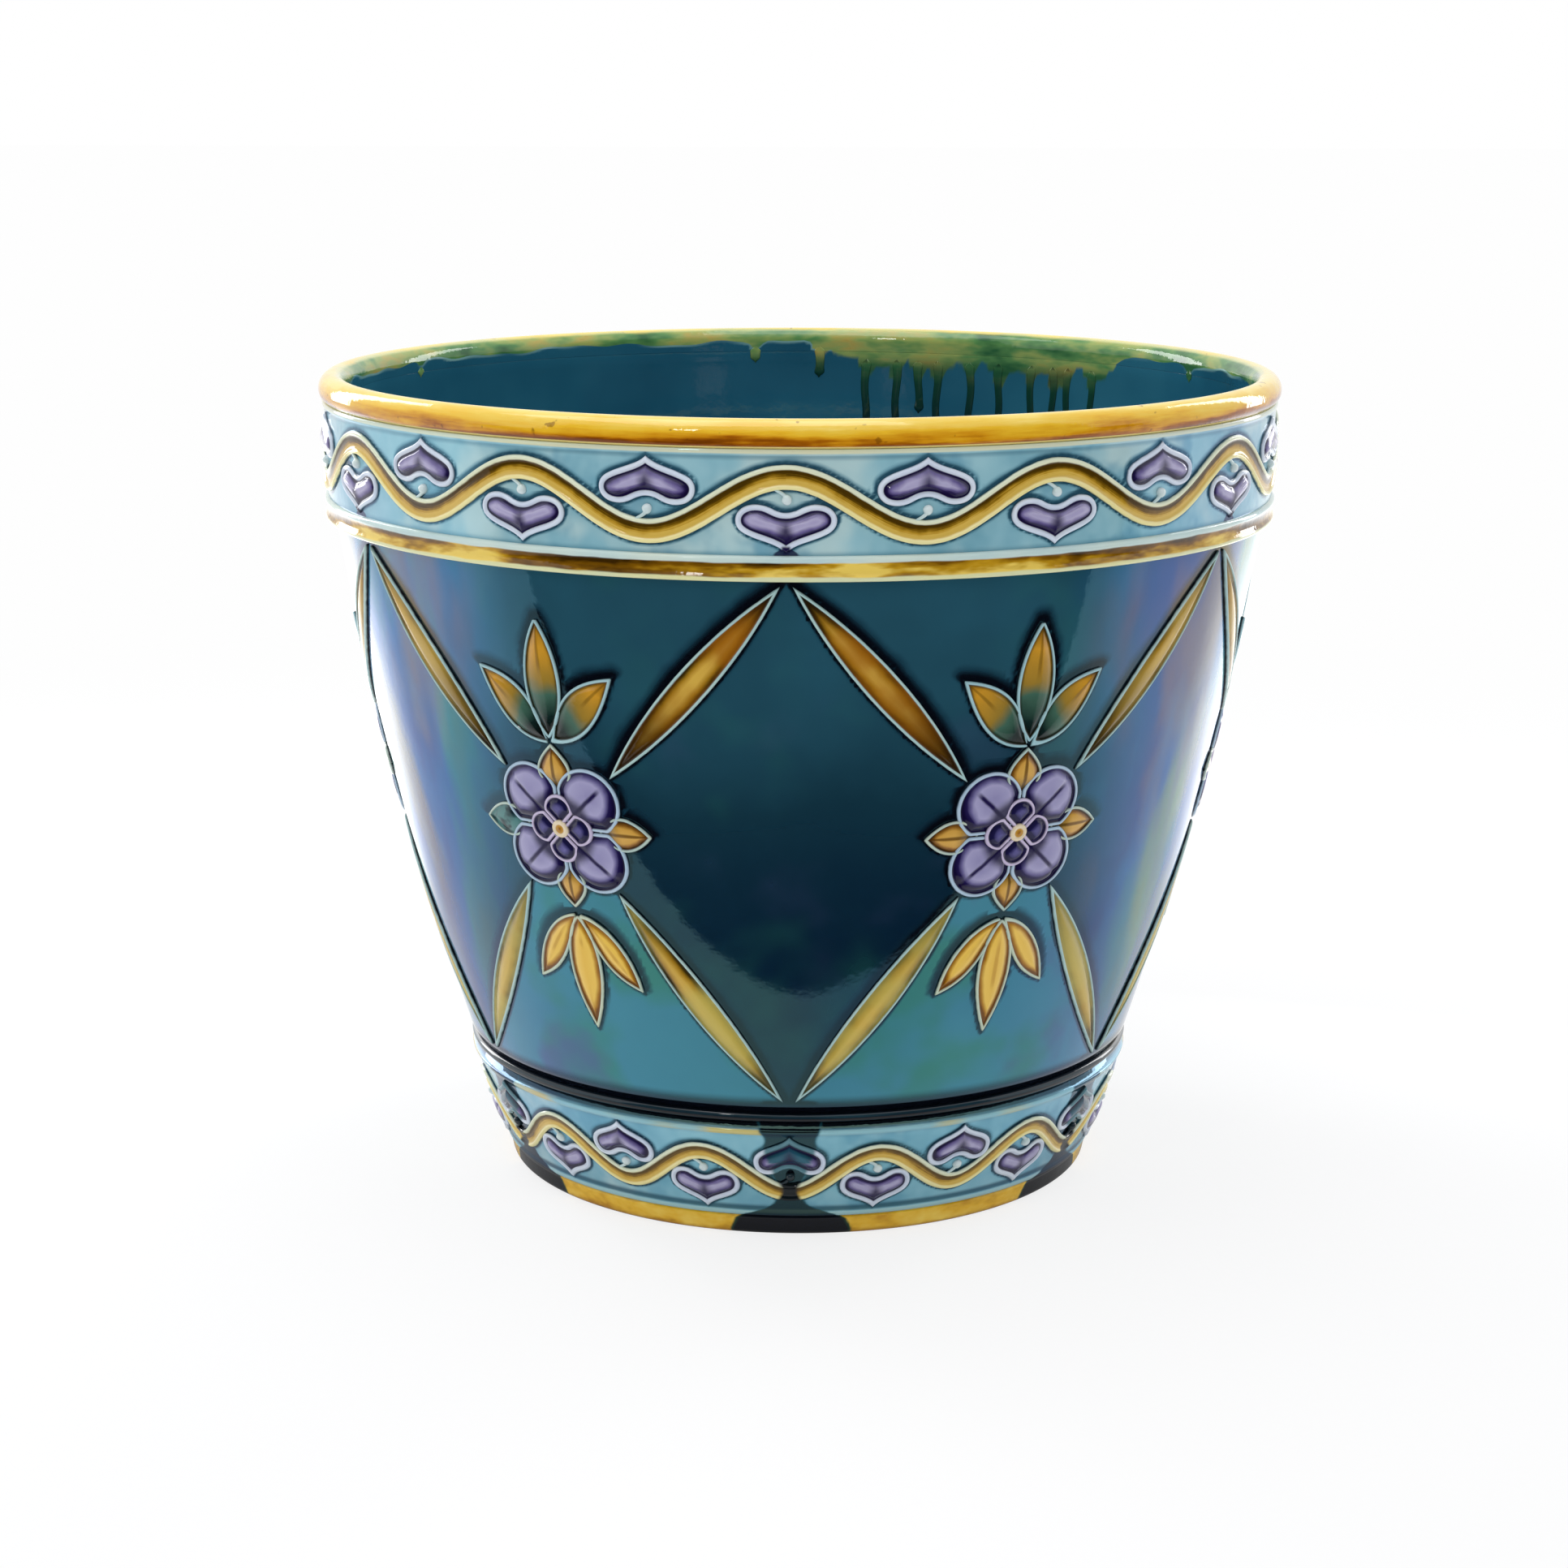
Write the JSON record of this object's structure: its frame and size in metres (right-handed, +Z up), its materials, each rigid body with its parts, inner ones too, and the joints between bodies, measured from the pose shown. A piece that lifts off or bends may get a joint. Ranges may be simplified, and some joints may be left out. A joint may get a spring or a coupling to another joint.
{
  "type": "jardiniere",
  "caption": "Tapering round jardiniere with a rolled rim, a foot ring, vine borders with heart leaves, and a trellis of long leaves crossing at rosettes.",
  "frame": {"origin": "centre of the circle that the foot ring stands on", "axes": "+Z up along the pot's axis; -Y is the front, where an apex of the trellis lies"},
  "size_m": [0.4, 0.4, 0.3379],
  "materials": {
    "teal_glaze": "deep teal lead glaze, glossy, pooling darker round the relief",
    "amber_glaze": "amber lead glaze, glossy, brown where it runs thick",
    "turquoise_glaze": "pale turquoise glaze, glossy, nearly white on raised lines",
    "lilac_glaze": "lilac glaze, glossy, dark violet in the hollows",
    "gold_glaze": "gold glaze, glossy, brown along veins and edges"
  },
  "bodies": {
    "root": {"vessel": "teal_glaze", "rim_roll": "amber_glaze", "band_moulding": "amber_glaze", "waist_bead": "teal_glaze", "foot_ring": "amber_glaze", "upper_vine_border": "turquoise_glaze", "lower_vine_border": "turquoise_glaze", "rosette_1": "lilac_glaze", "crown_spray_1": "gold_glaze", "drop_spray_1": "gold_glaze", "trellis_leaf_upper_left_1": "gold_glaze", "trellis_leaf_upper_right_1": "gold_glaze", "trellis_leaf_lower_left_1": "gold_glaze", "trellis_leaf_lower_right_1": "gold_glaze", "rosette_2": "lilac_glaze", "crown_spray_2": "gold_glaze", "drop_spray_2": "gold_glaze", "trellis_leaf_upper_left_2": "gold_glaze", "trellis_leaf_upper_right_2": "gold_glaze", "trellis_leaf_lower_left_2": "gold_glaze", "trellis_leaf_lower_right_2": "gold_glaze", "rosette_3": "lilac_glaze", "crown_spray_3": "gold_glaze", "drop_spray_3": "gold_glaze", "trellis_leaf_upper_left_3": "gold_glaze", "trellis_leaf_upper_right_3": "gold_glaze", "trellis_leaf_lower_left_3": "gold_glaze", "trellis_leaf_lower_right_3": "gold_glaze", "rosette_4": "lilac_glaze", "crown_spray_4": "gold_glaze", "drop_spray_4": "gold_glaze", "trellis_leaf_upper_left_4": "gold_glaze", "trellis_leaf_upper_right_4": "gold_glaze", "trellis_leaf_lower_left_4": "gold_glaze", "trellis_leaf_lower_right_4": "gold_glaze", "rosette_5": "lilac_glaze", "crown_spray_5": "gold_glaze", "drop_spray_5": "gold_glaze", "trellis_leaf_upper_left_5": "gold_glaze", "trellis_leaf_upper_right_5": "gold_glaze", "trellis_leaf_lower_left_5": "gold_glaze", "trellis_leaf_lower_right_5": "gold_glaze", "rosette_6": "lilac_glaze", "crown_spray_6": "gold_glaze", "drop_spray_6": "gold_glaze", "trellis_leaf_upper_left_6": "gold_glaze", "trellis_leaf_upper_right_6": "gold_glaze", "trellis_leaf_lower_left_6": "gold_glaze", "trellis_leaf_lower_right_6": "gold_glaze"}
  },
  "joints": []
}
